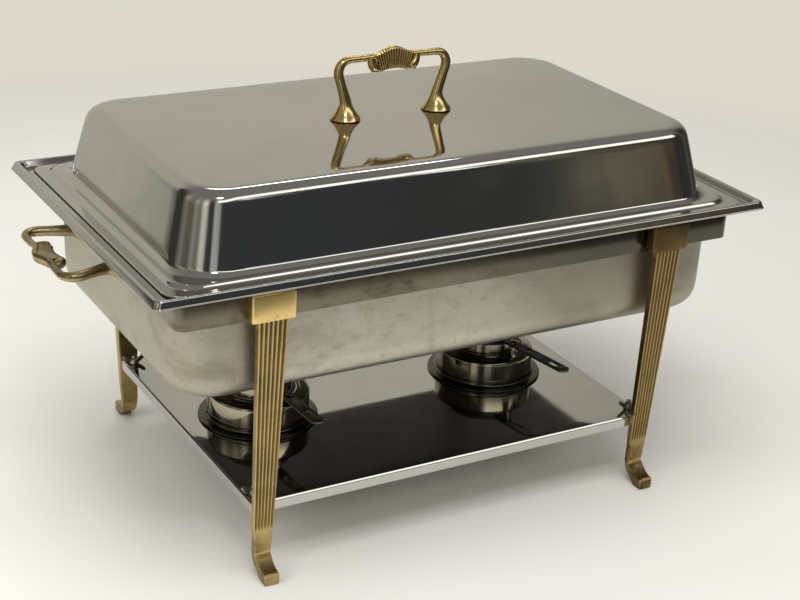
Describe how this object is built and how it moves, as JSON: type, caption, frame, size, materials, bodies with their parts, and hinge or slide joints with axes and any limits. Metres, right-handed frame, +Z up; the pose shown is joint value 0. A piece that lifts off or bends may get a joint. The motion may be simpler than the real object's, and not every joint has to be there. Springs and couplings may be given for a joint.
{
  "type": "chafing dish food warmer",
  "caption": "Oblong buffet food warmer: lift-off domed lid, food pan in a water pan, rim-hung on a band with fluted brass legs, and fuel cups with swing covers on a low shelf.",
  "frame": {"origin": "on the table, under the middle of the dish", "axes": "+X along the dish towards the right end, +Y towards the back, +Z up"},
  "size_m": [0.6516, 0.348, 0.3919],
  "materials": {
    "polished_steel": "mirror polished, fine scratches",
    "satin_steel": "satin, water stained",
    "satin_brass": "satin, tarnished in the flutes",
    "bright_brass": "polished",
    "plated_steel": "plated, dull",
    "scorched_steel": "heat darkened"
  },
  "bodies": {
    "frame": {"frame_band": "polished_steel", "leg_front_left": "satin_brass", "leg_front_right": "satin_brass", "leg_rear_left": "satin_brass", "leg_rear_right": "satin_brass", "leg_screw_front_left": "plated_steel", "leg_screw_front_right": "plated_steel", "leg_screw_rear_left": "plated_steel", "leg_screw_rear_right": "plated_steel", "end_handle_left": "bright_brass", "end_handle_right": "bright_brass", "end_handle_screw_left_front": "plated_steel", "end_handle_screw_left_rear": "plated_steel", "end_handle_screw_right_front": "plated_steel", "end_handle_screw_right_rear": "plated_steel", "shelf": "polished_steel", "shelf_screw_front_left": "plated_steel", "shelf_screw_front_right": "plated_steel", "shelf_screw_rear_left": "plated_steel", "shelf_screw_rear_right": "plated_steel"},
    "water_pan": {"water_pan": "satin_steel"},
    "food_pan": {"food_pan": "satin_steel"},
    "lid": {"lid_shell": "polished_steel", "lid_handle": "bright_brass", "lid_handle_screw_left": "plated_steel", "lid_handle_screw_right": "plated_steel"},
    "burner_left": {"fuel_cup_left": "polished_steel", "pivot_rivet_left": "polished_steel"},
    "burner_right": {"fuel_cup_right": "polished_steel", "pivot_rivet_right": "polished_steel"},
    "cover_left": {"burner_cover_left": "scorched_steel", "cover_lever_left": "scorched_steel", "cover_rivet_left": "polished_steel"},
    "cover_right": {"burner_cover_right": "scorched_steel", "cover_lever_right": "scorched_steel", "cover_rivet_right": "polished_steel"},
    "wing_nut_front_left": {"wing_nut_front_left": "plated_steel"},
    "wing_nut_front_right": {"wing_nut_front_right": "plated_steel"},
    "wing_nut_rear_left": {"wing_nut_rear_left": "plated_steel"},
    "wing_nut_rear_right": {"wing_nut_rear_right": "plated_steel"}
  },
  "joints": [
    {"name": "water_pan_lift", "type": "slide", "parent": "frame", "child": "water_pan", "axis": [0, 0, 1], "range_m": [0, 0.15]},
    {"name": "food_pan_lift", "type": "slide", "parent": "water_pan", "child": "food_pan", "axis": [0, 0, 1], "range_m": [0, 0.1]},
    {"name": "lid_lift", "type": "slide", "parent": "food_pan", "child": "lid", "axis": [0, 0, 1], "range_m": [0, 0.15]},
    {"name": "burner_left_slide", "type": "slide", "parent": "frame", "child": "burner_left", "axis": [0, -1, 0], "range_m": [-0.085, 0.06]},
    {"name": "burner_right_slide", "type": "slide", "parent": "frame", "child": "burner_right", "axis": [0, -1, 0], "range_m": [-0.085, 0.06]},
    {"name": "cover_left_swing", "type": "hinge", "parent": "burner_left", "child": "cover_left", "pos_m": [-0.12398, -0.04355, 0.107], "axis": [0, 0, 1], "range_deg": [-100, 100]},
    {"name": "cover_right_swing", "type": "hinge", "parent": "burner_right", "child": "cover_right", "pos_m": [0.1177, -0.04601, 0.107], "axis": [0, 0, 1], "range_deg": [-100, 100]},
    {"name": "wing_nut_front_left_turn", "type": "hinge", "parent": "frame", "child": "wing_nut_front_left", "pos_m": [-0.19, -0.13561, 0.0689], "axis": [0, 0, 1], "continuous": true},
    {"name": "wing_nut_front_right_turn", "type": "hinge", "parent": "frame", "child": "wing_nut_front_right", "pos_m": [0.19, -0.13561, 0.0689], "axis": [0, 0, 1], "continuous": true},
    {"name": "wing_nut_rear_left_turn", "type": "hinge", "parent": "frame", "child": "wing_nut_rear_left", "pos_m": [-0.19, 0.13561, 0.0689], "axis": [0, 0, 1], "continuous": true},
    {"name": "wing_nut_rear_right_turn", "type": "hinge", "parent": "frame", "child": "wing_nut_rear_right", "pos_m": [0.19, 0.13561, 0.0689], "axis": [0, 0, 1], "continuous": true}
  ]
}
